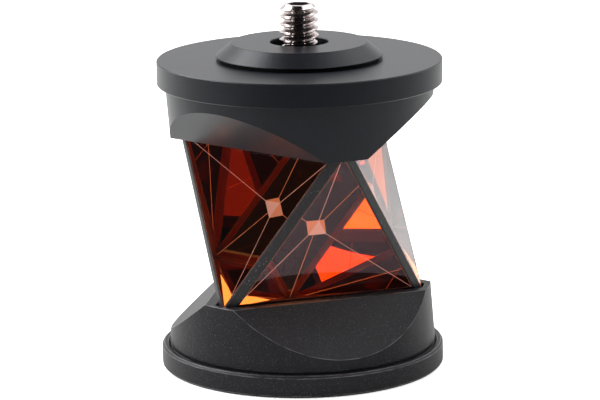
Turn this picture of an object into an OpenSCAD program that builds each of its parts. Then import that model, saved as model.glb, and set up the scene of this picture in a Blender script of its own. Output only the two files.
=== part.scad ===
// Omnidirectional surveying prism.
// Six corner-cube prisms stand around a common centre and form the side faces of a
// regular octahedron that stands on one face. A round cap holds each end of the glass,
// a three-sided core backs the prisms inside each cap, and a threaded stud stands on top.
// The origin is the centre of the base's underside, +Z is up, and azimuth is counted
// from -Y towards +X. The faces with their base edge down are at 0, 120 and 240 degrees.

/* [Glass] */
// Edge of the octahedron that the six prisms form
edge_len = 35.3; // [34:0.1:35.8]
// Width of the chamfer along a prism's outer edges, measured on its front face
face_inset = 1.12; // [0.8:0.01:1.4]
// Gap between two neighbouring prisms, behind an edge strip
prism_gap = 0.7; // [0.5:0.05:0.9]
// How far each prism's base mirror stays away from the octahedron's centre
base_cut = 1.35; // [1:0.05:1.6]
// Leg cut off each prism's inner corner, along its mirror edges
apex_cut = 2.5; // [1.5:0.1:3]
// Depth cut off each outer corner of the octahedron
corner_cut = 1.6; // [1.5:0.1:2]
// Cement line between a prism and a core or strip
bond = 0.1; // [0.05:0.01:0.15]
// Thickness of an edge strip over the chamfers
strip_t = 0.15; // [0.1:0.01:0.2]
// Depth of an edge strip's web between the prisms
strip_web = 1.2; // [0.8:0.1:1.6]
// Sealant under the octahedron at each end
glass_bed = 0.38; // [0.2:0.01:0.6]
// How far the octahedron is sunk below a cap's rim
glass_sink = 2.3; // [1.8:0.1:2.6]

/* [Caps] */
// Height from the base's underside to the octahedron's lower face
base_floor = 10.88; // [10.5:0.01:13]
// Height from the octahedron's upper face to the top disc's face
top_floor = 10.63; // [10.4:0.01:13]
// Gap between a pocket's round wall and the glass corners
corner_clear = 0.28; // [0.1:0.01:0.6]
// Gap between a pocket's flat walls and the front faces, at the rim
face_clear = 0.2; // [0.1:0.01:0.5]
// Wall of a cap's rim at its three horns
horn_wall = 1; // [0.7:0.05:1.4]
// Width of the base's rim beside its slanted flats
base_rim_w = 1.75; // [1.2:0.05:2.4]
// Width of the upper cap's rim beside its slanted flats
top_rim_w = 2.2; // [1.2:0.05:2.4]
// Angle of the slanted flats from the axis
flat_tilt = 48.6; // [44:0.1:52]
// How much a cap's body widens from its rim to its flange, each side
body_taper = 0.7; // [0:0.05:1.2]
// How far the flanges stand out from the bodies
flange_ledge = 1.3; // [0.8:0.05:3]
// Thickness of the base flange
base_flange_t = 3.6; // [3:0.1:4.5]
// Thickness of the top disc
top_disc_t = 3.85; // [3:0.05:4.5]
// Bevel on the edges of the base flange
base_bevel = 0.35; // [0.2:0.05:0.6]
// Bevel on the edges of the top disc
top_bevel = 0.15; // [0.1:0.05:0.4]
// Width of the groove between the base flange and the body
groove_w = 0.35; // [0.2:0.05:0.6]
// How far the sealant round the glass stays below a cap's rim
sealant_drop = 0.98; // [0.7:0.01:1.5]

/* [Cores and screws] */
// Diameter of each core's spigot and of an insert's flange
spigot_d = 15.9; // [14:0.1:17]
// Depth of the cap's seat for the spigot and the insert's flange
seat_depth = 4; // [3.5:0.1:4.6]
// Flange thickness of a threaded insert
insert_flange_t = 1.5; // [1:0.1:2]
// Wall of a threaded insert round the stud's thread
insert_wall = 1.5; // [1:0.05:2]
// How far the lower insert's face stays inside the base's underside
insert_gap = 0.25; // [0.1:0.05:0.5]
// How far the upper insert's face stays below the collar's neck
insert_drop = 1.2; // [1.1:0.05:1.6]
// Cap material left between the spigot's seat and a core screw
screw_land = 0.75; // [0.5:0.05:1]
// Thread diameter of a core screw
screw_d = 2.5; // [2:0.1:3]
// How far a core screw's head stands out from its thread
screw_head_w = 1.1; // [0.8:0.05:1.3]
// Length of a core screw
screw_len = 14; // [13:0.5:16]
// Width across the flats of a core screw's hex socket
screw_hex = 1.5; // [1.3:0.1:1.7]
// Depth of a core screw's head below the face that it is screwed into
screw_sink = 0.25; // [0.1:0.05:0.4]
// Clearance round pressed and seated round pieces
seat_clear = 0.05; // [0.02:0.01:0.1]

/* [Collar and stud] */
// Thread diameter of the stud, a quarter of an inch
stud_d = 6.35; // [5:0.05:7]
// Thread pitch, twenty to the inch
thread_pitch = 1.27; // [1:0.01:1.5]
// Length of the stud
stud_len = 15.9; // [14:0.1:18]
// Height of the stud above the collar
stud_out = 6.1; // [5:0.1:7]
// Width across the flats of the stud's hex socket
stud_hex = 3.175; // [2.5:0.025:3.5]
// Depth of the stud's hex socket
stud_hex_depth = 3.2; // [2.5:0.1:4]
// Radial running clearance between the stud and its insert
thread_clear = 0.05; // [0.02:0.01:0.1]
// Gap between the stud and the collar's hole
stud_gap = 1.525; // [0.8:0.025:2]
// Wall of the collar's pressed neck
neck_wall = 2.3; // [1.5:0.1:3]
// Depth of the collar's pressed neck in the disc
neck_depth = 2.2; // [1.5:0.1:2.5]
// Width of the collar's flat top, round its hole
collar_top_w = 6.25; // [5:0.05:7.5]
// Width of the collar's conical side, seen from above
collar_slope_w = 2.5; // [1.5:0.05:3]
// Height of the collar above the disc, with its washer
collar_h = 2.7; // [2.4:0.1:3.5]
// Thickness of the washer under the collar
washer_t = 0.5; // [0.4:0.05:0.8]
// How far the washer stays inside the collar's edge
washer_recess = 0.75; // [0.3:0.05:1]
// Space left below the stud when it is screwed in flush
stud_spare = 0.7; // [0.5:0.1:1.2]
// Depth of the bolt relief in the lower core, above its seat
bolt_relief = 5; // [3:0.5:6]

/* [Hidden] */
$fn = 96;

// Elevation of an octahedron side face's normal, and of a side edge's midpoint tilt
face_el = asin(1 / 3);
edge_tilt = atan(1 / sqrt(2));
// Distance from the octahedron's centre to a face and to a corner
face_dist = edge_len / sqrt(6);
corner_dist = edge_len / sqrt(2);
// Distance from the octahedron's centre to the plane of a chamfer between two prisms
strip_x = edge_len / 2 - face_inset * sin(edge_tilt);
big = 4 * edge_len;

// Heights, from the base's underside
glass_bottom = base_floor;
centre_z = base_floor + face_dist;
glass_top = centre_z + face_dist;
height = glass_top + top_floor;
base_rim_z = glass_bottom + glass_sink;
top_rim_z = glass_top - glass_sink;
base_pocket_z = glass_bottom - glass_bed;
top_pocket_z = glass_top + glass_bed;
collar_z = height + washer_t;
collar_top_z = height + collar_h;
stud_top_z = collar_top_z + stud_out;
stud_bottom_z = stud_top_z - stud_len;
base_seat_z = base_pocket_z - seat_depth;
top_seat_z = top_pocket_z + seat_depth;

// Widest radius of the cut glass corners, where a corner's cut meets a front face
reach_at_face = face_dist / cos(face_el);
reach_at_corner = (corner_dist - corner_cut) / cos(edge_tilt);
reach_z = (reach_at_corner - reach_at_face) / (tan(face_el) + tan(edge_tilt));
glass_reach = reach_at_face + tan(face_el) * reach_z;
// Distance of a front face from the axis, level with the rim beside its base edge
face_at_rim = (face_dist - sin(face_el) * (face_dist - glass_sink)) / cos(face_el);

// Caps
pocket_r = glass_reach + corner_clear;
pocket_flat = face_at_rim + face_clear;
core_r = pocket_r - 3.5;
rim_r = pocket_r + horn_wall;
foot_r = rim_r + body_taper;
flange_r = foot_r + flange_ledge;
sealant_h = glass_sink + glass_bed - sealant_drop;
spigot_len = seat_depth - insert_flange_t;

// Stud, inserts and collar
thread_depth = 0.6134 * thread_pitch;
thread_r = stud_d / 2;
thread_root_r = thread_r - thread_depth;
// Half the height of a thread ring at its root
ring_half = thread_pitch / 16 + thread_depth * tan(30);
// The rings below the collar's top have lower crests, so that only the stud's free end
// has the full radius of its mount
held_r = thread_r - 0.2;
bore_r = thread_r + thread_clear;
held_bore_r = held_r + thread_clear;
relief_r = bore_r + 0.2;
insert_r = bore_r + insert_wall;
hole_r = thread_r + stud_gap;
neck_r = hole_r + neck_wall;
collar_top_r = hole_r + collar_top_w;
collar_r = collar_top_r + collar_slope_w;
washer_r = collar_r - washer_recess;
neck_seat_z = height - neck_depth;

// Core screws
screw_r = screw_d / 2;
head_r = screw_r + screw_head_w;
screw_ring_r = spigot_d / 2 + seat_clear + screw_land + screw_r;

// Turns +X to a direction given by its azimuth and elevation
module aim(az, el) {
    rotate([0, -el, az - 90])
        children();
}

// Everything nearer than dist, measured from the origin along a direction
module half_space(az, el, dist) {
    aim(az, el)
        translate([dist - big, -big / 2, -big / 2])
            cube(big);
}

// Turns the corner of the three axes so that it opens along +X, with its Z axis up
module octant() {
    rotate([0, edge_tilt, 0])
        rotate([0, 0, -45])
            children();
}

// Everything beyond x, y and z
module beyond(x, y, z) {
    translate([x, y, z])
        cube(big);
}

// Turns an octant to the one that no prism fills, below the octahedron's centre. Its
// plane edges are at 60, 180 and 300 degrees.
module empty_octant() {
    rotate([0, 0, 90])
        rotate([0, 90, 0])
            octant()
                children();
}

// Equilateral triangle about the origin, one corner at +X, by its inradius
module triangle(inradius) {
    circle(r = 2 * inradius, $fn = 3);
}

// One corner-cube prism with its front face at azimuth 0 and its base edge down,
// about the octahedron's centre. Three mirrors, the front face, the flat at its inner
// corner, three chamfers and the cut outer corners.
module prism_blank() {
    apex_x = (prism_gap + base_cut + apex_cut) / sqrt(3);
    intersection() {
        aim(0, -face_el)
            intersection() {
                octant()
                    beyond(prism_gap / 2, prism_gap / 2, base_cut);
                translate([apex_x, -big / 2, -big / 2])
                    cube([face_dist - apex_x, big, big]);
            }
        half_space(30, 0, strip_x);
        half_space(-30, 0, strip_x);
        half_space(0, edge_tilt - 90, strip_x - base_cut / sqrt(2));
        corner_planes(0);
    }
}

module prism(index) {
    color([0.72, 0.24, 0.1, 0.85])
        translate([0, 0, centre_z])
            rotate([0, 0, 60 * index])
                rotate([0, index % 2 == 0 ? 0 : 180, 0])
                    prism_blank();
}

// The octahedron's side faces and cut corners, grown outward by a small amount
module octahedron_sides(grow) {
    intersection() {
        intersection_for (az = [0, 120, 240])
            half_space(az, -face_el, face_dist + grow);
        intersection_for (az = [60, 180, 300])
            half_space(az, face_el, face_dist + grow);
        corner_planes(grow);
    }
}

// The planes that cut the octahedron's six corners off
module corner_planes(grow) {
    reach = corner_dist - corner_cut + grow;
    intersection() {
        intersection_for (az = [0, 120, 240])
            half_space(az, edge_tilt, reach);
        intersection_for (az = [60, 180, 300])
            half_space(az, -edge_tilt, reach);
    }
}

// Dark strip over the chamfers of two neighbouring prisms, with a web between them. Its
// sloped sides continue the two front faces.
module edge_strip(index) {
    side_y = face_inset * cos(edge_tilt);
    low_x = strip_x + bond / 2;
    top_x = low_x + strip_t;
    top_y = side_y - (top_x - strip_x) / tan(edge_tilt);
    web_y = (prism_gap - bond) / 2;
    lean = index % 2 == 0 ? edge_tilt : -edge_tilt;
    color("dimgray")
        translate([0, 0, centre_z])
            intersection() {
                aim(60 * index + 30, 0)
                    rotate([lean, 0, 0])
                        linear_extrude(height = edge_len, center = true)
                            polygon([
                                [top_x, top_y],
                                [low_x, side_y - (low_x - strip_x) / tan(edge_tilt)],
                                [low_x, web_y],
                                [low_x - strip_web, web_y],
                                [low_x - strip_web, -web_y],
                                [low_x, -web_y],
                                [low_x, (low_x - strip_x) / tan(edge_tilt) - side_y],
                                [top_x, -top_y]
                            ]);
                half_space(60 * index - 90, 0, -bond / 2);
                half_space(60 * index + 150, 0, -bond / 2);
                corner_planes(0);
            }
}

// Outline of a cap's pocket, or of what fills it with a gap all round: a round cut by
// three flats
module pocket_outline(gap) {
    intersection() {
        circle(r = pocket_r - gap, $fn = 180);
        rotate(90)
            triangle(pocket_flat - gap);
    }
}

// Body of a cap from its outer face up to its rim, with its slanted flats.
// The flats are at 0, 120 and 240 degrees.
module cap_body(flange_t, rim_z, rim_w, bevel, groove) {
    difference() {
        rotate_extrude($fn = 180)
            polygon([
                [0, 0],
                [flange_r - bevel, 0],
                [flange_r, bevel],
                [flange_r, flange_t - bevel],
                [flange_r - bevel, flange_t],
                [foot_r + groove, flange_t],
                [foot_r - groove / 2, flange_t - groove],
                [foot_r - groove / 2, flange_t + groove],
                [foot_r, flange_t + groove],
                [rim_r, rim_z],
                [0, rim_z]
            ]);
        for (az = [0, 120, 240])
            rotate([0, 0, az - 90])
                translate([pocket_flat + rim_w, 0, rim_z])
                    rotate([0, -flat_tilt, 0])
                        translate([0, -big / 2, -big / 2])
                            cube(big);
    }
}

// Seats that both caps have, cut from the pocket down: the pocket, the spigot's seat,
// the insert's hole and the holes of the core screws
module cap_seats(pocket_z, rim_z, seat_z) {
    translate([0, 0, pocket_z])
        linear_extrude(height = rim_z - pocket_z + 1)
            pocket_outline(0);
    translate([0, 0, seat_z])
        cylinder(d = spigot_d + 2 * seat_clear, h = seat_depth + 1);
    translate([0, 0, -1])
        cylinder(r = insert_r + seat_clear, h = seat_z + 2);
    for (az = [60, 180, 300])
        rotate([0, 0, az - 90])
            translate([screw_ring_r, 0, 0])
                screw_hole(pocket_z);
}

// Countersunk hole through a cap's floor
module screw_hole(depth) {
    seat_r = head_r + seat_clear;
    shank_r = screw_r + seat_clear;
    rotate_extrude($fn = 48)
        polygon([
            [0, -1],
            [seat_r, -1],
            [seat_r, screw_sink],
            [shank_r, screw_sink + seat_r - shank_r],
            [shank_r, depth + 1],
            [0, depth + 1]
        ]);
}

module lower_cap() {
    color([0.16, 0.16, 0.17])
        difference() {
            cap_body(base_flange_t, base_rim_z, base_rim_w, base_bevel, groove_w);
            cap_seats(base_pocket_z, base_rim_z, base_seat_z);
        }
}

// The upper cap is built standing on its disc, then turned over
module upper_cap() {
    rim = height - top_rim_z;
    pocket = height - top_pocket_z;
    seat = height - top_seat_z;
    color([0.2, 0.2, 0.21])
        turn_over()
            difference() {
                cap_body(top_disc_t, rim, top_rim_w, top_bevel, 0.05);
                cap_seats(pocket, rim, seat);
                translate([0, 0, -1])
                    cylinder(r = neck_r + seat_clear, h = neck_depth + 1);
            }
}

// Turns a piece of the upper end over, so that its azimuth 0 comes to 180 degrees
module turn_over() {
    translate([0, 0, height])
        rotate([0, 180, 0])
            rotate([0, 0, 180])
                children();
}

// Three-sided pyramid that fills the empty corner under or over the prisms, with a
// spigot in the cap and threaded holes for the core screws
module core(pocket_z, relief_depth) {
    tip = apex_cut + 0.3;
    shank_r = screw_r + seat_clear;
    difference() {
        union() {
            intersection() {
                translate([0, 0, centre_z_of(pocket_z)])
                    core_corner();
                translate([0, 0, pocket_z])
                    linear_extrude(height = face_dist + glass_bed - tip)
                        intersection() {
                            pocket_outline(seat_clear);
                            circle(r = core_r, $fn = 180);
                        }
            }
            translate([0, 0, pocket_z - spigot_len])
                cylinder(d = spigot_d, h = spigot_len + 0.2);
        }
        translate([0, 0, pocket_z - spigot_len - 1])
            cylinder(r = relief_r, h = relief_depth + 1);
        for (az = [60, 180, 300])
            rotate([0, 0, az - 90])
                translate([screw_ring_r, 0, pocket_z - 1])
                    cylinder(r = shank_r, h = screw_sink + screw_len - pocket_z + 1 + 0.3, $fn = 48);
    }
}

// The space of the empty octant that a core fills, with a plate behind the base mirror
// of each of its three prisms
module core_corner() {
    side = bond - prism_gap / 2;
    plate = bond - base_cut;
    empty_octant()
        beyond(bond / 2, bond / 2, bond / 2);
    intersection() {
        empty_octant() {
            beyond(plate, side, side);
            beyond(side, plate, side);
            beyond(side, side, plate);
        }
        octahedron_sides(0);
    }
}

// Height of the octahedron's centre over a cap's outer face, from its pocket floor
function centre_z_of(pocket_z) = pocket_z + glass_bed + face_dist;

module lower_core() {
    color("gray")
        core(base_pocket_z, spigot_len + bolt_relief);
}

module upper_core() {
    travel_end = stud_bottom_z - stud_out - stud_spare;
    spigot_face = top_pocket_z + spigot_len;
    color("gray")
        turn_over()
            core(height - top_pocket_z, spigot_face - travel_end);
}

// Sealant round the foot of the glass, up to a level below the rim
module sealant(pocket_z) {
    difference() {
        translate([0, 0, pocket_z])
            linear_extrude(height = sealant_h)
                pocket_outline(0.02);
        translate([0, 0, centre_z_of(pocket_z)])
            octahedron_sides(bond / 2);
        translate([0, 0, centre_z_of(pocket_z)])
            empty_octant()
                beyond(0, 0, 0);
    }
}

module lower_sealant() {
    color([0.08, 0.08, 0.08])
        sealant(base_pocket_z);
}

module upper_sealant() {
    color([0.08, 0.08, 0.08])
        turn_over()
            sealant(height - top_pocket_z);
}

// Threaded bush with a flange that the core holds against the cap's seat
module insert(seat_z, face_z, bore) {
    difference() {
        rotate_extrude()
            polygon([
                [0, face_z],
                [insert_r - 0.3, face_z],
                [insert_r, face_z + 0.3],
                [insert_r, seat_z],
                [spigot_d / 2, seat_z],
                [spigot_d / 2, seat_z + insert_flange_t],
                [0, seat_z + insert_flange_t]
            ]);
        translate([0, 0, face_z - 1])
            cylinder(r = bore, h = seat_z + insert_flange_t - face_z + 2);
        translate([0, 0, face_z - 0.01])
            cylinder(r1 = bore + 0.4, r2 = bore, h = 0.41);
    }
}

module lower_insert() {
    color("silver")
        insert(base_seat_z, insert_gap, bore_r);
}

module upper_insert() {
    color("silver")
        turn_over()
            insert(height - top_seat_z, neck_depth + insert_drop, held_bore_r);
}

// Countersunk socket screws that pull a core into its cap
module core_screws() {
    for (az = [60, 180, 300])
        rotate([0, 0, az - 90])
            translate([screw_ring_r, 0, screw_sink])
                countersunk_screw();
}

module countersunk_screw() {
    difference() {
        rotate_extrude($fn = 48)
            polygon([
                [0, 0],
                [head_r, 0],
                [screw_r, screw_head_w],
                [screw_r, screw_len - 0.3],
                [screw_r - 0.3, screw_len],
                [0, screw_len]
            ]);
        translate([0, 0, -1])
            cylinder(d = screw_hex / cos(30), h = 2.2, $fn = 6);
    }
}

module lower_screws() {
    color("silver")
        core_screws();
}

module upper_screws() {
    color("silver")
        turn_over()
            core_screws();
}

module collar_washer() {
    color([0.05, 0.05, 0.05])
        difference() {
            translate([0, 0, height])
                cylinder(r = washer_r, h = washer_t, $fn = 180);
            translate([0, 0, height - 1])
                cylinder(r = neck_r + seat_clear, h = washer_t + 2);
        }
}

// Conical collar with a neck pressed in the disc
module collar() {
    land = 0.15;
    edge = 0.12;
    color([0.2, 0.2, 0.21])
        rotate_extrude($fn = 180)
            polygon([
                [hole_r, neck_seat_z + 0.05],
                [neck_r, neck_seat_z + 0.05],
                [neck_r, collar_z],
                [collar_r, collar_z],
                [collar_r, collar_z + land],
                [collar_top_r, collar_top_z],
                [hole_r + edge, collar_top_z],
                [hole_r, collar_top_z - edge]
            ]);
}

// Set-screw stud with its thread as rings of the true profile
module stud() {
    bevel = thread_r - thread_root_r;
    last = stud_top_z - bevel - ring_half;
    turns = floor((last - stud_bottom_z - bevel) / thread_pitch);
    color("silver")
        difference() {
            rotate_extrude()
                polygon(concat(
                    [[0, stud_bottom_z], [thread_root_r, stud_bottom_z]],
                    [for (i = [turns : -1 : 1]) each ring(last - i * thread_pitch)],
                    [
                        [thread_root_r, last - ring_half],
                        [thread_r, last - thread_pitch / 16],
                        [thread_r, last + ring_half],
                        [thread_root_r, stud_top_z],
                        [0, stud_top_z]
                    ]
                ));
            translate([0, 0, stud_top_z - stud_hex_depth])
                cylinder(d = stud_hex / cos(30), h = stud_hex_depth + 1, $fn = 6);
        }
}

// Section points of one thread ring whose crest is centred on z
function ring(z) =
    let (crest_r = z < collar_top_z ? held_r : thread_r)
    let (crest_half = thread_pitch / 16 + (thread_r - crest_r) * tan(30))
    [
        [thread_root_r, z - ring_half],
        [crest_r, z - crest_half],
        [crest_r, z + crest_half],
        [thread_root_r, z + ring_half]
    ];

lower_cap();
upper_cap();
lower_core();
upper_core();
prism(0);  // prism_1
prism(1);  // prism_2
prism(2);  // prism_3
prism(3);  // prism_4
prism(4);  // prism_5
prism(5);  // prism_6
edge_strip(0);  // edge_strip_1
edge_strip(1);  // edge_strip_2
edge_strip(2);  // edge_strip_3
edge_strip(3);  // edge_strip_4
edge_strip(4);  // edge_strip_5
edge_strip(5);  // edge_strip_6
lower_sealant();
upper_sealant();
lower_insert();
upper_insert();
lower_screws();
upper_screws();
collar_washer();
collar();
stud();
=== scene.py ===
"""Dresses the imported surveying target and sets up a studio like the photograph's."""

import math

import bmesh
import bpy
from bpy.props import FloatProperty, FloatVectorProperty, IntProperty, PointerProperty
from bpy.types import Operator, Panel, PropertyGroup
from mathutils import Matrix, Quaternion, Vector


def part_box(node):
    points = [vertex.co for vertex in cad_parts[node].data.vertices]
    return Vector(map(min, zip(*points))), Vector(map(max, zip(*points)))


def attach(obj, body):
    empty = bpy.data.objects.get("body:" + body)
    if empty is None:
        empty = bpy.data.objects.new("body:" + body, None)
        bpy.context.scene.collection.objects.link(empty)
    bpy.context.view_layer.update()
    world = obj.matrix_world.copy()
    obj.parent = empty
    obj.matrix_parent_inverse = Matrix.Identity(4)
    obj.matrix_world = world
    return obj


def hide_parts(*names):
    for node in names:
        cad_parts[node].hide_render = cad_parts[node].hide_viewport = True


bl_info = {
    "name": "Omnidirectional surveying prism",
    "version": (1, 0, 0),
    "blender": (4, 5, 0),
    "location": "3D view > Sidebar > Survey target",
    "description": "Dresses the packed surveying target and sets up its studio",
    "category": "Object",
}

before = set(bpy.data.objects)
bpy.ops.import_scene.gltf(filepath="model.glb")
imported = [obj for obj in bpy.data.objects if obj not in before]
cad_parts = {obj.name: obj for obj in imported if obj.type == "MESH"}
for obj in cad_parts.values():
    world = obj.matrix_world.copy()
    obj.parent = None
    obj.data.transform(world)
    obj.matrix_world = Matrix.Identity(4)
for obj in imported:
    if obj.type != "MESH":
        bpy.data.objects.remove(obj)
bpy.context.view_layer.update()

MM = 0.001
PRISMS = [f"prism_{i}" for i in range(1, 7)]
STRIPS = [f"edge_strip_{i}" for i in range(1, 7)]
# Everything is merged and matched within this distance
TOUCH = 0.002 * MM
# Triangles of a CAD mesh that turn less than this from one another are one flat face
FLAT_ANGLE = math.radians(0.3)
# Machined edges that turn more than this are rounded
ROUNDED_ANGLE = math.radians(30)
# Threads and turned faces are shaded smooth up to this turn
SMOOTH_ANGLE = math.radians(35)
# Sides of a turned piece
LATHE_STEPS = 96

# Depth of a unified thread outside and inside, as a share of its pitch
MALE_DEPTH = 0.6134
FEMALE_DEPTH = 0.5413
# Slope of a thread's flank from the plane across the rod
FLANK_ANGLE = math.radians(30)
# The held end of the stud is this much slimmer than its free end, as in the CAD model
HELD_END_DROP = 0.2 * MM

# Where the photograph was taken from: azimuth from -Y towards +X, and elevation
CAMERA_AZIMUTH = math.radians(-20.45)
CAMERA_ELEVATION = math.radians(13.19)
# How the camera was held, and its shift, which puts the target where the photograph has it
CAMERA_ROLL = math.radians(-0.7)
CAMERA_SHIFT = (-0.0021, 0.0294)
SENSOR_WIDTH = 36.0
# Side of the square table and how far it reaches towards the camera, in metres
TABLE_SIZE = 3.0
TABLE_FRONT = 0.17
# Area lights that look at the target: azimuth and elevation in degrees, distance, width and
# height in metres, and power in watts. The two strip lights draw the streaks on the stud
LIGHTS = {
    "left_softbox": ((-132, 46), 0.6, (0.4, 0.4), 4.5),
    "right_softbox": ((95, 46), 0.6, (0.4, 0.4), 1.0),
    "back_softbox": ((160, 16), 0.8, (1.0, 0.3), 0.25),
    "top_softbox": ((45, 61), 0.6, (0.3, 0.3), 0.85),
    "left_strip_light": ((-77, 30), 0.6, (0.07, 0.5), 0.9),
    "right_strip_light": ((22, 40), 0.6, (0.04, 0.4), 0.5),
}


def linear(hex_colour):
    """An sRGB hex colour as a linear colour."""
    parts = [int(hex_colour[i : i + 2], 16) / 255 for i in (1, 3, 5)]
    return [p / 12.92 if p <= 0.04045 else ((p + 0.055) / 1.055) ** 2.4 for p in parts]


def colour_property(name, description, hex_colour):
    """A colour setting with its default as sRGB hex."""
    return FloatVectorProperty(
        name=name,
        description=description,
        default=linear(hex_colour),
        min=0.0,
        max=1.0,
        size=3,
        subtype="COLOR",
    )


def length_property(name, description, millimetres):
    """A length setting with its default in millimetres."""
    return FloatProperty(
        name=name,
        description=description,
        default=millimetres * MM,
        min=0.0,
        precision=5,
        subtype="DISTANCE",
        unit="LENGTH",
    )


class GlassSettings(PropertyGroup):
    """The prisms' copper and their ground edges"""

    mirror_colour: colour_property("Mirror", "Colour of one reflection on copper", "#FAC893")
    edge_colour: colour_property("Ground edges", "Copper on ground glass", "#DF9179")
    chamfer_colour: colour_property("Chamfers", "Ground chamfers under the strips", "#863F2B")
    edge_width: length_property("Edge width", "Ground width between two mirrors", 0.1)
    corner_growth: length_property("Corner", "How far the inner corner comes forward", 0.18)


class CapSettings(PropertyGroup):
    """The anodised black of the caps and the collar"""

    base_colour: colour_property("Base", "Black dye of the blasted base cap", "#1D1D20")
    # Painted glints: the colour laid on the grit's highest points
    painted_glint_colour: colour_property("Sparkle", "Bright points that the grit left", "#434246")
    # The rounded edges' colour: partly rubbed-thin anodising, partly a painted highlight
    wear_and_highlight_colour: colour_property("Worn edges", "Edges where the black is thin", "#585658")
    top_colour: colour_property("Top", "Black dye of the upper cap and collar", "#121419")
    edge_bevel: length_property("Edge", "Rounding of the machined edges", 0.1)


class StudSettings(PropertyGroup):
    """The stud's thread and hex socket"""

    pitch: length_property("Pitch", "Thread pitch, twenty to the inch", 1.27)
    hex_width: length_property("Hex socket", "Width across the socket's flats", 3.175)
    hex_depth: length_property("Socket depth", "Depth of the hex socket", 3.2)
    steps: IntProperty(
        name="Steps", description="Steps in a turn of the thread", default=72, min=24
    )


class StageSettings(PropertyGroup):
    """The floor and the camera"""

    floor_colour: colour_property("Floor", "Colour of the floor", "#F4F4F2")
    camera_distance: length_property("Camera distance", "From camera to target", 516.7)
    target_height: length_property("Target height", "Height that the camera aims at", 23.92)
    lens: FloatProperty(
        name="Lens", description="Focal length in millimetres", default=190.5, min=1.0
    )


# Materials

# The mix node's sockets share their names, so they are told apart by number
MIX_FACTOR, VALUE_A, VALUE_B, COLOUR_A, COLOUR_B = 0, 2, 3, 6, 7
MIXED_VALUE, MIXED_COLOUR = 0, 2
# The wave node's stripes are this far apart at scale 1
WAVE_LENGTH = math.tau / 20
# The lathe's tool marks as drawn, 0.5 mm apart, and the mill's passes, 3.1 mm apart
TOOL_MARK_SPACING = 0.16 * math.pi * MM
CUTTER_PASS_SPACING = math.pi * MM


def add_node(tree, kind, inputs=None, **settings):
    """Adds a node with its settings, and sets each input or links it to the given socket."""
    node = tree.nodes.new(kind)
    for name, value in settings.items():
        setattr(node, name, value)
    for name, value in (inputs or {}).items():
        if isinstance(value, bpy.types.NodeSocket):
            tree.links.new(value, node.inputs[name])
        else:
            node.inputs[name].default_value = value
    return node


def new_material(name, colour, **values):
    """A Principled material with constant values, and its node tree and shader."""
    material = bpy.data.materials.new(name)
    material.use_nodes = True
    tree = material.node_tree
    shader = tree.nodes["Principled BSDF"]
    shader.inputs["Base Color"].default_value = (*colour, 1.0)
    for label, value in values.items():
        shader.inputs[label.replace("_", " ")].default_value = value
    return material, tree, shader


def optical_glass():
    """Polished borosilicate crown glass with an anti-reflection film: clear and colourless,
    with a weak violet reflection that turns to a full white one at grazing angles."""
    material, _tree, _shader = new_material(
        "coated_crown_glass",
        (1.0, 1.0, 1.0),
        Roughness=0.0,
        IOR=1.517,
        Transmission_Weight=1.0,
        Specular_Tint=(1.0, 0.76, 0.88, 1.0),
    )
    return material


def evaporated_copper():
    """Copper evaporated on the polished back faces: an orange mirror that deepens to red with
    every further reflection."""
    glass = bpy.context.scene.target_glass
    material, tree, shader = new_material(
        "evaporated_copper", glass.mirror_colour, Metallic=1.0, Roughness=0.0
    )
    place = add_node(tree, "ShaderNodeTexCoord")
    # The film's thickness drifts over about 4 mm
    drift = add_node(
        tree,
        "ShaderNodeTexNoise",
        {"Vector": place.outputs["Object"], "Scale": 1 / (4.0 * MM), "Detail": 1.0},
    )
    thin = [c * 0.975 for c in glass.mirror_colour]
    film = add_node(
        tree,
        "ShaderNodeMix",
        {
            MIX_FACTOR: drift.outputs["Fac"],
            COLOUR_A: (*thin, 1.0),
            COLOUR_B: (*glass.mirror_colour, 1.0),
        },
        data_type="RGBA",
    )
    tree.links.new(film.outputs[MIXED_COLOUR], shader.inputs["Base Color"])
    return material


def painted_glow_ground_glass():
    """Fine-ground edges and cut corners under the copper: matt, pale and pinkish, so they show
    as lines and as small pyramids in the dark mirrors, and glowing a little with painted
    light, an emission that no lamp gives them."""
    glass = bpy.context.scene.target_glass
    # Painted glow: a weak emission stands in for light running inside the glass and makes them
    # glow a little
    material, tree, shader = new_material(
        "copper_on_fine_ground_glass_with_painted_glow",
        glass.edge_colour,
        Roughness=0.8,
        IOR=1.52,
        Emission_Color=(*linear("#FFCDBE"), 1.0),
        Emission_Strength=0.18,
    )
    place = add_node(tree, "ShaderNodeTexCoord")
    # Grinding pits of 0.03 mm, drawn at 0.15 mm so that they show
    pits = add_node(
        tree,
        "ShaderNodeTexNoise",
        {"Vector": place.outputs["Object"], "Scale": 1 / (0.15 * MM), "Detail": 2.0},
    )
    pitted = [c * 0.8 for c in glass.edge_colour]
    ground = add_node(
        tree,
        "ShaderNodeMix",
        {
            MIX_FACTOR: pits.outputs["Fac"],
            COLOUR_A: (*pitted, 1.0),
            COLOUR_B: (*glass.edge_colour, 1.0),
        },
        data_type="RGBA",
    )
    tree.links.new(ground.outputs[MIXED_COLOUR], shader.inputs["Base Color"])
    return material


def coppered_chamfer():
    """Ground chamfers that caught some of the copper under the strips: a dull red-brown band,
    lit through the glass."""
    glass = bpy.context.scene.target_glass
    material, tree, shader = new_material(
        "ground_chamfer_with_copper", glass.chamfer_colour, Roughness=0.9, IOR=1.52
    )
    place = add_node(tree, "ShaderNodeTexCoord")
    # Stains of a millimetre or so
    stains = add_node(
        tree,
        "ShaderNodeTexNoise",
        {"Vector": place.outputs["Object"], "Scale": 1 / (1.2 * MM), "Detail": 3.0},
    )
    stained = [c * 0.7 for c in glass.chamfer_colour]
    band = add_node(
        tree,
        "ShaderNodeMix",
        {
            MIX_FACTOR: stains.outputs["Fac"],
            COLOUR_A: (*stained, 1.0),
            COLOUR_B: (*glass.chamfer_colour, 1.0),
        },
        data_type="RGBA",
    )
    tree.links.new(band.outputs[MIXED_COLOUR], shader.inputs["Base Color"])
    return material


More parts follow.
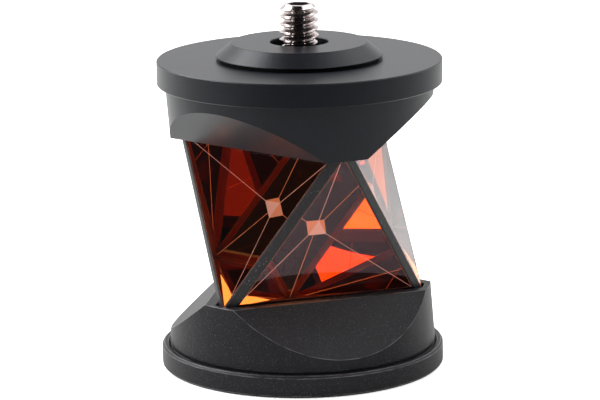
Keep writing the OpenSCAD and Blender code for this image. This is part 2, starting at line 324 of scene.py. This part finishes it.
def blasted_anodised():
    """Fine-blasted aluminium anodised black: dull, with painted glints, bright points laid
    into its colour on the grit's highest points.
    """
    caps = bpy.context.scene.target_caps
    material, tree, shader = new_material(
        "blasted_black_anodised_aluminium",
        caps.base_colour,
        Roughness=0.42,
        IOR=1.45,
        Specular_IOR_Level=0.16,
    )
    place = add_node(tree, "ShaderNodeTexCoord")
    # The grit left pits of about 0.1 mm, drawn at 0.2 mm so that they show
    grain = add_node(
        tree,
        "ShaderNodeTexNoise",
        {"Vector": place.outputs["Object"], "Scale": 1 / (0.2 * MM), "Detail": 1.0},
    )
    bump = add_node(
        tree,
        "ShaderNodeBump",
        {"Strength": 0.8, "Distance": 0.05 * MM, "Height": grain.outputs["Fac"]},
    )
    tree.links.new(bump.outputs["Normal"], shader.inputs["Normal"])
    # Painted glints: only the highest points of the grain are lifted to a brighter colour
    points = add_node(
        tree,
        "ShaderNodeMapRange",
        {"Value": grain.outputs["Fac"], "From Min": 0.6, "From Max": 0.76},
    )
    painted_glints = add_node(
        tree,
        "ShaderNodeMix",
        {
            MIX_FACTOR: points.outputs["Result"],
            COLOUR_A: (*caps.base_colour, 1.0),
            COLOUR_B: (*caps.painted_glint_colour, 1.0),
        },
        data_type="RGBA",
    )
    tree.links.new(painted_glints.outputs[MIXED_COLOUR], shader.inputs["Base Color"])
    return material


def worn_and_highlit_edge():
    """Black anodising on a rounded edge, partly rubbed thin and partly lightened as a painted
    highlight: a thin grey line along it.
    """
    caps = bpy.context.scene.target_caps
    material, tree, shader = new_material(
        "worn_and_highlit_black_anodised_edge", caps.wear_and_highlight_colour, Roughness=0.35, IOR=1.45
    )
    place = add_node(tree, "ShaderNodeTexCoord")
    # Rubbed and highlit patches come and go over about 2 mm
    patches = add_node(
        tree,
        "ShaderNodeTexNoise",
        {"Vector": place.outputs["Object"], "Scale": 1 / (2.0 * MM), "Detail": 4.0},
    )
    patchy = add_node(
        tree,
        "ShaderNodeMapRange",
        {"Value": patches.outputs["Fac"], "From Min": 0.35, "From Max": 0.6},
    )
    wear_and_highlight = add_node(
        tree,
        "ShaderNodeMix",
        {
            MIX_FACTOR: patchy.outputs["Result"],
            COLOUR_A: (*caps.top_colour, 1.0),
            COLOUR_B: (*caps.wear_and_highlight_colour, 1.0),
        },
        data_type="RGBA",
    )
    tree.links.new(wear_and_highlight.outputs[MIXED_COLOUR], shader.inputs["Base Color"])
    return material


def smooth_anodised():
    """Turned aluminium anodised black: smoother, glossier and bluer than the base."""
    caps = bpy.context.scene.target_caps
    material, tree, shader = new_material(
        "turned_black_anodised_aluminium",
        caps.top_colour,
        Roughness=0.36,
        IOR=1.45,
        Specular_IOR_Level=0.26,
        Specular_Tint=(0.92, 0.95, 1.0, 1.0),
    )
    place = add_node(tree, "ShaderNodeTexCoord")
    # Etched grain of about 0.1 mm, drawn at 0.25 mm so that it shows
    grain = add_node(
        tree,
        "ShaderNodeTexNoise",
        {"Vector": place.outputs["Object"], "Scale": 1 / (0.25 * MM), "Detail": 2.0},
    )
    bump = add_node(
        tree,
        "ShaderNodeBump",
        {"Strength": 0.5, "Distance": 0.04 * MM, "Height": grain.outputs["Fac"]},
    )
    tree.links.new(bump.outputs["Normal"], shader.inputs["Normal"])
    # The etched points are a little paler
    points = add_node(
        tree,
        "ShaderNodeMapRange",
        {"Value": grain.outputs["Fac"], "From Min": 0.58, "From Max": 0.8},
    )
    pale = [c * 1.8 for c in caps.top_colour]
    etched = add_node(
        tree,
        "ShaderNodeMix",
        {
            MIX_FACTOR: points.outputs["Result"],
            COLOUR_A: (*caps.top_colour, 1.0),
            COLOUR_B: (*pale, 1.0),
        },
        data_type="RGBA",
    )
    tree.links.new(etched.outputs[MIXED_COLOUR], shader.inputs["Base Color"])
    return material


def strip_plastic():
    """Moulded black plastic strips between the prisms: satin, with pale grit stuck to them."""
    black = linear("#262426")
    material, tree, shader = new_material(
        "moulded_satin_black_plastic", black, Roughness=0.45, IOR=1.45, Specular_IOR_Level=0.3
    )
    place = add_node(tree, "ShaderNodeTexCoord")
    # The moulded surface waves a little over 0.4 mm
    grain = add_node(
        tree,
        "ShaderNodeTexNoise",
        {"Vector": place.outputs["Object"], "Scale": 1 / (0.4 * MM), "Detail": 3.0},
    )
    bump = add_node(
        tree,
        "ShaderNodeBump",
        {"Strength": 0.1, "Distance": 0.02 * MM, "Height": grain.outputs["Fac"]},
    )
    tree.links.new(bump.outputs["Normal"], shader.inputs["Normal"])
    # Grit of about 0.1 mm, drawn at 0.2 mm so that it shows, and only here and there
    grit = add_node(
        tree,
        "ShaderNodeTexNoise",
        {"Vector": place.outputs["Object"], "Scale": 1 / (0.2 * MM), "Detail": 0.0},
    )
    points = add_node(
        tree,
        "ShaderNodeMapRange",
        {"Value": grit.outputs["Fac"], "From Min": 0.73, "From Max": 0.85},
    )
    speckled = add_node(
        tree,
        "ShaderNodeMix",
        {
            MIX_FACTOR: points.outputs["Result"],
            COLOUR_A: (*black, 1.0),
            COLOUR_B: (*linear("#7C7878"), 1.0),
        },
        data_type="RGBA",
    )
    tree.links.new(speckled.outputs[MIXED_COLOUR], shader.inputs["Base Color"])
    return material


def silicone_sealant():
    """Black silicone sealant and rubber: matt, with a soft unevenness."""
    material, tree, shader = new_material(
        "black_silicone_rubber", linear("#101010"), Roughness=0.7, IOR=1.41
    )
    place = add_node(tree, "ShaderNodeTexCoord")
    # Lumps of 1.5 mm from laying it by hand
    lumps = add_node(
        tree,
        "ShaderNodeTexNoise",
        {"Vector": place.outputs["Object"], "Scale": 1 / (1.5 * MM), "Detail": 2.0},
    )
    bump = add_node(
        tree,
        "ShaderNodeBump",
        {"Strength": 0.2, "Distance": 0.1 * MM, "Height": lumps.outputs["Fac"]},
    )
    tree.links.new(bump.outputs["Normal"], shader.inputs["Normal"])
    return material


def turned_steel():
    """Turned stainless steel: fine rings round the axis."""
    material, tree, shader = new_material(
        "turned_stainless_steel", linear("#BDB9B2"), Metallic=1.0, Roughness=0.3
    )
    place = add_node(tree, "ShaderNodeTexCoord")
    # Tool marks of about 0.1 mm, drawn coarser so that they show
    rings = add_node(
        tree,
        "ShaderNodeTexWave",
        {
            "Vector": place.outputs["Object"],
            "Scale": WAVE_LENGTH / TOOL_MARK_SPACING,
            "Distortion": 0.4,
        },
        wave_type="RINGS",
        rings_direction="Z",
    )
    bump = add_node(
        tree,
        "ShaderNodeBump",
        {"Strength": 0.15, "Distance": 0.005 * MM, "Height": rings.outputs["Fac"]},
    )
    tree.links.new(bump.outputs["Normal"], shader.inputs["Normal"])
    return material


def rolled_steel():
    """Rolled stainless thread: bright, burnished by the dies, slightly warm."""
    material, tree, shader = new_material(
        "rolled_stainless_thread", linear("#BFB5B3"), Metallic=1.0, Roughness=0.16
    )
    place = add_node(tree, "ShaderNodeTexCoord")
    # The dies burnished it unevenly, over about 0.6 mm
    streaks = add_node(
        tree,
        "ShaderNodeTexNoise",
        {"Vector": place.outputs["Object"], "Scale": 1 / (0.6 * MM), "Detail": 4.0},
    )
    rough = add_node(
        tree,
        "ShaderNodeMapRange",
        {"Value": streaks.outputs["Fac"], "To Min": 0.1, "To Max": 0.22},
    )
    tree.links.new(rough.outputs["Result"], shader.inputs["Roughness"])
    return material


def milled_aluminium():
    """Milled aluminium of the hidden cores: grey, with the cutter's passes across it."""
    material, tree, shader = new_material(
        "milled_aluminium", linear("#A9AAAC"), Metallic=1.0, Roughness=0.35
    )
    place = add_node(tree, "ShaderNodeTexCoord")
    passes = add_node(
        tree,
        "ShaderNodeTexWave",
        {
            "Vector": place.outputs["Object"],
            "Scale": WAVE_LENGTH / CUTTER_PASS_SPACING,
            "Distortion": 1.0,
        },
    )
    rough = add_node(
        tree,
        "ShaderNodeMapRange",
        {"Value": passes.outputs["Fac"], "To Min": 0.28, "To Max": 0.42},
    )
    tree.links.new(rough.outputs["Result"], shader.inputs["Roughness"])
    return material


# Modelling

def only(obj):
    """Selects this object alone and makes it active."""
    bpy.ops.object.select_all(action="DESELECT")
    obj.select_set(True)
    bpy.context.view_layer.objects.active = obj


def edit(obj):
    """Opens this object alone in edit mode, with all of its mesh selected."""
    only(obj)
    bpy.ops.object.mode_set(mode="EDIT")
    bpy.ops.mesh.select_all(action="SELECT")


def close_edit():
    """Goes back to object mode, which writes the edits to the mesh."""
    bpy.ops.object.mode_set(mode="OBJECT")


def copy_of_node(node, name):
    """A new piece with a copy of a CAD node's mesh, its triangles joined to whole faces."""
    obj = bpy.data.objects.new(name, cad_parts[node].data.copy())
    obj.data.name = name
    obj.data.materials.clear()
    bpy.context.scene.collection.objects.link(obj)
    only(obj)
    bpy.ops.mesh.customdata_custom_splitnormals_clear()
    bpy.ops.object.shade_flat()
    edit(obj)
    bpy.ops.mesh.remove_doubles(threshold=TOUCH)
    bpy.ops.mesh.dissolve_limited(angle_limit=FLAT_ANGLE)
    close_edit()
    return obj


def apply_modifiers(obj):
    """Applies the piece's modifiers in their order."""
    only(obj)
    for modifier in list(obj.modifiers):
        bpy.ops.object.modifier_apply(modifier=modifier.name)


def bevel_edges(obj, width):
    """Rounds the sharp edges, gives them the piece's last material and evens the shading."""
    only(obj)
    bpy.ops.object.shade_smooth_by_angle(angle=ROUNDED_ANGLE)
    bevel = obj.modifiers.new("bevel", "BEVEL")
    bevel.width = width
    bevel.segments = 2
    bevel.limit_method = "ANGLE"
    bevel.angle_limit = ROUNDED_ANGLE
    bevel.material = len(obj.data.materials) - 1
    weighted = obj.modifiers.new("weighted", "WEIGHTED_NORMAL")
    weighted.keep_sharp = True
    apply_modifiers(obj)


def draw_line(name, points):
    """A line of vertices in the XZ plane, drawn from one (radius, height) to the next."""
    bpy.ops.object.select_all(action="DESELECT")
    bpy.ops.mesh.primitive_plane_add(size=MM)
    obj = bpy.context.object
    obj.name = obj.data.name = name
    bpy.ops.object.mode_set(mode="EDIT")
    bpy.ops.mesh.merge(type="CENTER")
    places = [Vector((radius, 0.0, height)) for radius, height in points]
    bpy.ops.transform.translate(value=places[0])
    for start, end in zip(places, places[1:]):
        bpy.ops.mesh.extrude_region_move(TRANSFORM_OT_translate={"value": end - start})
    close_edit()
    return obj


def lathe(name, outline):
    """A turned piece: a closed outline of (radius, height) points, spun round the Z axis."""
    obj = draw_line(name, [*outline, outline[0]])
    edit(obj)
    bpy.ops.mesh.spin(steps=LATHE_STEPS, angle=math.tau, center=(0, 0, 0), axis=(0, 0, 1))
    bpy.ops.mesh.select_all(action="SELECT")
    bpy.ops.mesh.remove_doubles(threshold=TOUCH)
    bpy.ops.mesh.dissolve_degenerate(threshold=TOUCH)
    bpy.ops.mesh.select_all(action="SELECT")
    bpy.ops.mesh.normals_make_consistent(inside=False)
    close_edit()
    return obj


def combine(obj, other, operation):
    """Cuts obj with other, or keeps what they share, and deletes other."""
    boolean = obj.modifiers.new("boolean", "BOOLEAN")
    boolean.operation = operation
    boolean.solver = "EXACT"
    boolean.object = other
    apply_modifiers(obj)
    bpy.data.objects.remove(other)


def place_on_body(obj, node, body="target"):
    """The piece stands for its CAD node and rides on its body."""
    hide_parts(node)
    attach(obj, body)


def dress(nodes, material):
    """Gives the CAD nodes that stay in view their material."""
    for node in nodes:
        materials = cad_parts[node].data.materials
        materials.clear()
        materials.append(material)


def shared_material(name, make):
    """The material of this name, which the first piece that needs it makes."""
    return bpy.data.materials.get(name) or make()


def octahedron_centre():
    """The middle of the six prisms, where their inner corners meet."""
    boxes = [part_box(node) for node in PRISMS]
    low = min(box[0].z for box in boxes)
    high = max(box[1].z for box in boxes)
    return Vector((0.0, 0.0, (low + high) / 2))


# The distances of a prism's faces from the octahedron's centre tell them apart. Up to these
# lie the flat of the inner corner, the mirrors and the front. The chamfers and the cut outer
# corners lie further out
APEX_PLANE = -2.0 * MM
MIRROR_PLANE = 0.0
FRONT_PLANE = 15.2 * MM

GLASS, MIRROR, EDGE, CHAMFER = range(4)


def prism_face_kind(face, centre):
    """Which material a face of a prism has."""
    distance = (face.calc_center_median() - centre).dot(face.normal)
    if distance < APEX_PLANE:
        return EDGE
    if distance < MIRROR_PLANE:
        return MIRROR
    if distance < FRONT_PLANE:
        return GLASS
    return CHAMFER


def select_edges_between(mesh, kind, other_kind):
    """Selects only the edges between two kinds of face."""
    mesh.select_mode = {"EDGE"}
    for face in mesh.faces:
        face.select_set(False)
    for edge in mesh.edges:
        both = sorted(face.material_index for face in edge.link_faces)
        edge.select_set(both == sorted([kind, other_kind]))


def bring_corner_forward(mesh, growth):
    """Moves the flat of the cut inner corner along the mirrors' edges."""
    for face in [face for face in mesh.faces if face.material_index == EDGE]:
        for vertex in face.verts:
            for edge in vertex.link_edges:
                far = edge.other_vert(vertex)
                if far not in face.verts:
                    along = (vertex.co - far.co).normalized()
                    step = along * growth / along.dot(face.normal)
            vertex.co += step


class TARGET_OT_prisms(Operator):
    """Six corner-cube prisms with ground edges between their three copper mirrors"""

    bl_idname = "survey_target.prisms"
    bl_label = "Prisms"

    def execute(self, context):
        # In the order of GLASS, MIRROR, EDGE and CHAMFER
        # The ground edges' material carries a painted glow
        materials = [optical_glass(), evaporated_copper(), painted_glow_ground_glass(), coppered_chamfer()]
        centre = octahedron_centre()
        settings = context.scene.target_glass
        for node in PRISMS:
            prism = copy_of_node(node, f"glass_{node}")
            for material in materials:
                prism.data.materials.append(material)
            edit(prism)
            mesh = bmesh.from_edit_mesh(prism.data)
            for face in mesh.faces:
                face.material_index = prism_face_kind(face, centre)
            bring_corner_forward(mesh, settings.corner_growth)
            select_edges_between(mesh, MIRROR, MIRROR)
            bmesh.update_edit_mesh(prism.data)
            bpy.ops.mesh.bevel(offset=settings.edge_width / 2, segments=1, material=EDGE)
            # The edges round the front face are ground much finer
            mesh = bmesh.from_edit_mesh(prism.data)
            select_edges_between(mesh, GLASS, CHAMFER)
            bmesh.update_edit_mesh(prism.data)
            bpy.ops.mesh.bevel(offset=settings.edge_width / 16, segments=1, material=EDGE)
            close_edit()
            place_on_body(prism, node)
        return {"FINISHED"}


class TARGET_OT_strips(Operator):
    """Black strips over the chamfers between the prisms"""

    bl_idname = "survey_target.strips"
    bl_label = "Edge strips"

    def execute(self, context):
        dress(STRIPS, strip_plastic())
        return {"FINISHED"}


class TARGET_OT_caps(Operator):
    """Base cap and upper cap with rounded machined edges"""

    bl_idname = "survey_target.caps"
    bl_label = "Caps"

    def execute(self, context):
        # The rounded edges are lightened by rubbing and by a painted highlight
        edge_wear_and_highlight = worn_and_highlit_edge()
        black = shared_material("turned_black_anodised_aluminium", smooth_anodised)
        for node, name, material, slot in (
            ("lower_cap", "base_cap", blasted_anodised(), "base_black"),
            ("upper_cap", "top_cap", black, "cap_black"),
        ):
            cap = copy_of_node(node, name)
            cap.data.materials.append(material)
            cap.data.materials.append(edge_wear_and_highlight)
            bevel_edges(cap, context.scene.target_caps.edge_bevel)
            place_on_body(cap, node)
        return {"FINISHED"}


class TARGET_OT_collar(Operator):
    """Conical collar and the washer under it"""

    bl_idname = "survey_target.collar"
    bl_label = "Collar and washer"

    def execute(self, context):
        collar = copy_of_node("collar", "cone_collar")
        black = shared_material("turned_black_anodised_aluminium", smooth_anodised)
        collar.data.materials.append(black)
        bevel_edges(collar, context.scene.target_caps.edge_bevel / 2)
        place_on_body(collar, "collar")
        dress(["collar_washer"], shared_material("black_silicone_rubber", silicone_sealant))
        return {"FINISHED"}


def thread_line(crest_r, pitch):
    """One pitch of a unified thread as (radius, height) points, with a flat crest and root."""
    samples = 20
    root_r = crest_r - MALE_DEPTH * pitch
    # The crest's flat is an eighth of the pitch high
    half_crest = pitch / 16
    points = []
    for i in range(samples + 1):
        height = (i / samples - 0.5) * pitch
        flank = crest_r - max(0.0, abs(height) - half_crest) / math.tan(FLANK_ANGLE)
        points.append((max(flank, root_r), height))
    return points


def thread_rod(name, crest_r, low, high, settings):
    """A threaded rod between two heights, with one right-handed helix."""
    pitch = settings.pitch
    # The stud's crests then stand where the photograph shows them
    start = low - 2.45 * pitch
    # Four turns more than the rod holds reach past both its ends
    turns = math.ceil((high - low) / pitch) + 4
    rod = draw_line(name, [(r, z + start) for r, z in thread_line(crest_r, pitch)])
    screw = rod.modifiers.new("screw", "SCREW")
    screw.screw_offset = pitch
    screw.iterations = turns
    screw.steps = screw.render_steps = settings.steps
    screw.use_merge_vertices = True
    screw.merge_threshold = TOUCH
    apply_modifiers(rod)
    edit(rod)
    bpy.ops.mesh.remove_doubles(threshold=TOUCH)
    for height, side in ((low, -1.0), (high, 1.0)):
        bpy.ops.mesh.select_all(action="SELECT")
        bpy.ops.mesh.bisect(
            plane_co=(0, 0, height),
            plane_no=(0, 0, side),
            use_fill=True,
            clear_outer=True,
            threshold=0.1 * TOUCH,
        )
    bpy.ops.mesh.select_all(action="SELECT")
    bpy.ops.mesh.normals_make_consistent(inside=False)
    close_edit()
    return rod


def hex_cutter(width, low, high):
    """A six-sided bar that cuts a hex socket."""
    bpy.ops.object.select_all(action="DESELECT")
    bpy.ops.mesh.primitive_cylinder_add(
        vertices=6,
        radius=width / 2 / math.cos(math.radians(30)),
        depth=high - low,
        location=(0, 0, (low + high) / 2),
    )
    bpy.ops.object.transform_apply(location=True, rotation=True, scale=True)
    return bpy.context.object


class TARGET_OT_stud(Operator):
    """Threaded stud with a hex socket"""

    bl_idname = "survey_target.stud"
    bl_label = "Stud"

    def execute(self, context):
        settings = context.scene.target_stud
        low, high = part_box("stud")
        collar_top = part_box("collar")[1].z
        crest_r = high.x
        depth = MALE_DEPTH * settings.pitch
        root_r = crest_r - depth
        held_r = crest_r - HELD_END_DROP
        rod = thread_rod("stud_thread", crest_r, low.z, high.z, settings)
        for vertex in rod.data.vertices:
            radius = vertex.co.xy.length
            if vertex.co.z < collar_top and radius > held_r:
                vertex.co.xy *= held_r / radius
        # The blank chamfers both ends at about 45 degrees and is wider than the thread
        # between them
        wide = 0.5 * MM
        blank = lathe(
            "stud_blank",
            [
                (0.0, low.z - MM),
                (held_r - depth, low.z - 0.01 * MM),
                (crest_r + wide, low.z + depth + wide),
                (crest_r + wide, high.z - depth - wide),
                (root_r, high.z),
                (0.0, high.z),
            ],
        )
        combine(rod, blank, "INTERSECT")
        socket = hex_cutter(settings.hex_width, high.z - settings.hex_depth, high.z + MM)
        combine(rod, socket, "DIFFERENCE")
        rod.data.materials.clear()
        rod.data.materials.append(rolled_steel())
        only(rod)
        bpy.ops.object.shade_smooth_by_angle(angle=SMOOTH_ANGLE)
        place_on_body(rod, "stud", body="stud")
        return {"FINISHED"}


def cut_female_thread(bush, bore_r, low, high, settings):
    """Lines a bush's plain bore with the ridges of a female thread."""
    pitch = settings.pitch
    minor_r = bore_r - FEMALE_DEPTH * pitch
    lead_in = bore_r - minor_r
    # The ridges overlap the bush's wall, which they are joined to
    outer_r = bore_r + 0.1 * MM
    ridges = lathe(
        "thread_ridges",
        [(minor_r, low + lead_in), (outer_r, low), (outer_r, high), (minor_r, high - lead_in)],
    )
    rod = thread_rod("thread_cutter", bore_r, low - pitch, high + pitch, settings)
    combine(ridges, rod, "DIFFERENCE")
    combine(bush, ridges, "UNION")


class TARGET_OT_inner_pieces(Operator):
    """Threaded inserts, core screws, cores and sealant"""

    bl_idname = "survey_target.inner_pieces"
    bl_label = "Inserts, screws, cores and sealant"

    def execute(self, context):
        steel = turned_steel()
        dress(["upper_insert", "upper_screws"], steel)
        bush = copy_of_node("lower_insert", "threaded_bush")
        bush.data.materials.append(steel)
        low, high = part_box("lower_insert")
        bore_r = min(v.co.xy.length for v in bush.data.vertices)
        # The thread stops a little inside the bush's two ends
        stop = 0.1 * MM
        cut_female_thread(bush, bore_r, low.z + stop, high.z - stop, context.scene.target_stud)
        only(bush)
        bpy.ops.object.shade_smooth_by_angle(angle=SMOOTH_ANGLE)
        place_on_body(bush, "lower_insert")
        screws = copy_of_node("lower_screws", "core_screws")
        screws.data.materials.append(steel)
        # Small screws have finer edges than the caps
        bevel_edges(screws, 0.06 * MM)
        place_on_body(screws, "lower_screws")
        dress(["lower_core", "upper_core"], milled_aluminium())
        rubber = shared_material("black_silicone_rubber", silicone_sealant)
        dress(["lower_sealant", "upper_sealant"], rubber)
        return {"FINISHED"}


def from_azimuth(azimuth, elevation):
    """The direction to an azimuth, counted from -Y towards +X, and an elevation."""
    return Vector(
        (
            math.sin(azimuth) * math.cos(elevation),
            -math.cos(azimuth) * math.cos(elevation),
            math.sin(elevation),
        )
    )


def studio_world():
    """A bright sweep behind and beside the target, dark towards the camera."""
    world = bpy.data.worlds.new("studio")
    bpy.context.scene.world = world
    world.use_nodes = True
    tree = world.node_tree
    tree.nodes.clear()
    place = add_node(tree, "ShaderNodeTexCoord")
    direction = add_node(tree, "ShaderNodeSeparateXYZ", {"Vector": place.outputs["Generated"]})
    towards_camera = add_node(
        tree,
        "ShaderNodeVectorMath",
        {0: place.outputs["Generated"], 1: from_azimuth(CAMERA_AZIMUTH, 0.0)},
        operation="DOT_PRODUCT",
    )
    # Dark within 75 degrees of the camera's side, and bright from 120 degrees on
    bright = add_node(
        tree,
        "ShaderNodeMapRange",
        {
            "Value": towards_camera.outputs["Value"],
            "From Min": 0.25,
            "From Max": -0.5,
            "To Min": 0.01,
            "To Max": 1.3,
        },
        interpolation_type="SMOOTHSTEP",
    )
    # The sweep ends above the target
    below_top = add_node(
        tree,
        "ShaderNodeMapRange",
        {
            "Value": direction.outputs["Z"],
            "From Min": 0.97,
            "From Max": 0.8,
            "To Min": 0.02,
            "To Max": 1.0,
        },
        interpolation_type="SMOOTHSTEP",
    )
    strength = add_node(
        tree,
        "ShaderNodeMath",
        {0: bright.outputs["Result"], 1: below_top.outputs["Result"]},
        operation="MULTIPLY",
    )
    around = add_node(tree, "ShaderNodeBackground", {"Strength": strength.outputs[0]})
    seen = add_node(tree, "ShaderNodeBackground", {"Color": (1.0, 1.0, 1.0, 1.0)})
    path = add_node(tree, "ShaderNodeLightPath")
    mixed = add_node(
        tree,
        "ShaderNodeMixShader",
        {0: path.outputs["Is Camera Ray"], 1: around.outputs[0], 2: seen.outputs[0]},
    )
    add_node(tree, "ShaderNodeOutputWorld", {"Surface": mixed.outputs[0]})


def add_softbox(name, place, distance, size, power):
    """One of the area lights, with the values of its row in LIGHTS."""
    direction = from_azimuth(*(math.radians(angle) for angle in place))
    light = bpy.data.lights.new(name, "AREA")
    light.shape = "RECTANGLE"
    light.size, light.size_y = size
    light.energy = power
    obj = bpy.data.objects.new(name, light)
    bpy.context.scene.collection.objects.link(obj)
    obj.location = direction * distance
    obj.rotation_mode = "QUATERNION"
    obj.rotation_quaternion = (-direction).to_track_quat("-Z", "Y")
    obj.visible_camera = False


def add_camera(settings):
    """The camera of the photograph, with the slight roll that it was held at."""
    data = bpy.data.cameras.new("camera")
    data.lens = settings.lens
    data.sensor_width = SENSOR_WIDTH
    data.shift_x, data.shift_y = CAMERA_SHIFT
    data.clip_start = 10 * MM
    camera = bpy.data.objects.new("camera", data)
    bpy.context.scene.collection.objects.link(camera)
    back = from_azimuth(CAMERA_AZIMUTH, CAMERA_ELEVATION)
    camera.location = Vector((0, 0, settings.target_height)) + back * settings.camera_distance
    roll = Quaternion((0, 0, 1), CAMERA_ROLL)
    camera.rotation_mode = "QUATERNION"
    camera.rotation_quaternion = (-back).to_track_quat("-Z", "Y") @ roll
    bpy.context.scene.camera = camera


def white_table(colour):
    """Backlit white acrylic table: bright and even, with painted light on top: seen through
    the glass it glows brighter, as the exposure for the black caps makes it, in a painted pool
    that is brightest near the target's foot."""
    material, tree, shader = new_material("backlit_white_acrylic_with_painted_pool", colour, Roughness=0.9)
    path = add_node(tree, "ShaderNodeLightPath")
    place = add_node(tree, "ShaderNodeTexCoord")
    away = add_node(
        tree, "ShaderNodeVectorMath", {0: place.outputs["Object"]}, operation="LENGTH"
    )
    # Painted pool of light, seen only through the glass: brightest near the target's foot
    painted_pool_through_glass = add_node(
        tree,
        "ShaderNodeMapRange",
        {
            "Value": away.outputs["Value"],
            "From Min": 26 * MM,
            "From Max": 50 * MM,
            "To Min": 3.0,
            "To Max": 1.4,
        },
    )
    direct = add_node(
        tree,
        "ShaderNodeMapRange",
        {"Value": path.outputs["Is Camera Ray"], "To Min": 0.1, "To Max": 0.55},
    )
    glow = add_node(
        tree,
        "ShaderNodeMix",
        {
            MIX_FACTOR: path.outputs["Is Transmission Ray"],
            VALUE_A: direct.outputs["Result"],
            VALUE_B: painted_pool_through_glass.outputs["Result"],
        },
    )
    shader.inputs["Emission Color"].default_value = (1.0, 1.0, 1.0, 1.0)
    tree.links.new(glow.outputs[MIXED_VALUE], shader.inputs["Emission Strength"])
    return material


class TARGET_OT_stage(Operator):
    """White floor, soft studio light and the photograph's camera"""

    bl_idname = "survey_target.stage"
    bl_label = "Stage"

    def execute(self, context):
        settings = context.scene.target_stage
        bpy.ops.object.select_all(action="DESELECT")
        # The table ends a little way towards the camera, so low sight lines out of the glass
        # meet the dark side of the studio
        front = from_azimuth(CAMERA_AZIMUTH, 0.0)
        middle = front * (TABLE_FRONT - TABLE_SIZE / 2)
        # It lies just below the base, which would otherwise share its plane
        bpy.ops.mesh.primitive_plane_add(
            size=TABLE_SIZE,
            location=(middle.x, middle.y, -0.01 * MM),
            rotation=(0, 0, CAMERA_AZIMUTH),
        )
        bpy.ops.object.transform_apply(location=True, rotation=True, scale=True)
        floor = bpy.context.object
        floor.name = "floor"
        floor.data.materials.append(white_table(settings.floor_colour))
        studio_world()
        for name, values in LIGHTS.items():
            add_softbox(name, *values)
        add_camera(settings)
        scene = context.scene
        scene.view_settings.view_transform = "Standard"
        # An even spread of samples leaves no pattern where glass reflects and refracts
        scene.cycles.sampling_pattern = "TABULATED_SOBOL"
        scene.cycles.max_bounces = 20
        # Fewer reflections than the faint second echo in a prism needs, which is only noise
        scene.cycles.glossy_bounces = 11
        scene.cycles.transmission_bounces = 14
        return {"FINISHED"}


class TARGET_PT_panel(Panel):
    """Lists the target's operators and settings"""

    bl_idname = "TARGET_PT_panel"
    bl_label = "Survey target"
    bl_space_type = "VIEW_3D"
    bl_region_type = "UI"
    bl_category = "Survey target"

    def draw(self, context):
        layout = self.layout
        for operator in OPERATORS:
            layout.operator(operator.bl_idname)
        for group in SETTINGS:
            column = layout.column(heading=group)
            settings = getattr(context.scene, group)
            for name in settings.__annotations__:
                column.prop(settings, name)


SETTINGS = {
    "target_glass": GlassSettings,
    "target_caps": CapSettings,
    "target_stud": StudSettings,
    "target_stage": StageSettings,
}
OPERATORS = [
    TARGET_OT_prisms,
    TARGET_OT_strips,
    TARGET_OT_caps,
    TARGET_OT_collar,
    TARGET_OT_stud,
    TARGET_OT_inner_pieces,
    TARGET_OT_stage,
]


def register():
    """Registers the settings, operators and panel."""
    for cls in (*SETTINGS.values(), *OPERATORS, TARGET_PT_panel):
        bpy.utils.register_class(cls)
    for name, cls in SETTINGS.items():
        setattr(bpy.types.Scene, name, PointerProperty(type=cls))


def unregister():
    """Takes everything out again."""
    for name in SETTINGS:
        delattr(bpy.types.Scene, name)
    for cls in (TARGET_PT_panel, *reversed(OPERATORS), *SETTINGS.values()):
        bpy.utils.unregister_class(cls)


def main():
    """Builds the target and its stage."""
    register()
    bpy.ops.survey_target.prisms()
    bpy.ops.survey_target.strips()
    bpy.ops.survey_target.caps()
    bpy.ops.survey_target.collar()
    bpy.ops.survey_target.stud()
    bpy.ops.survey_target.inner_pieces()
    bpy.ops.survey_target.stage()


if __name__ == "__main__":
    main()
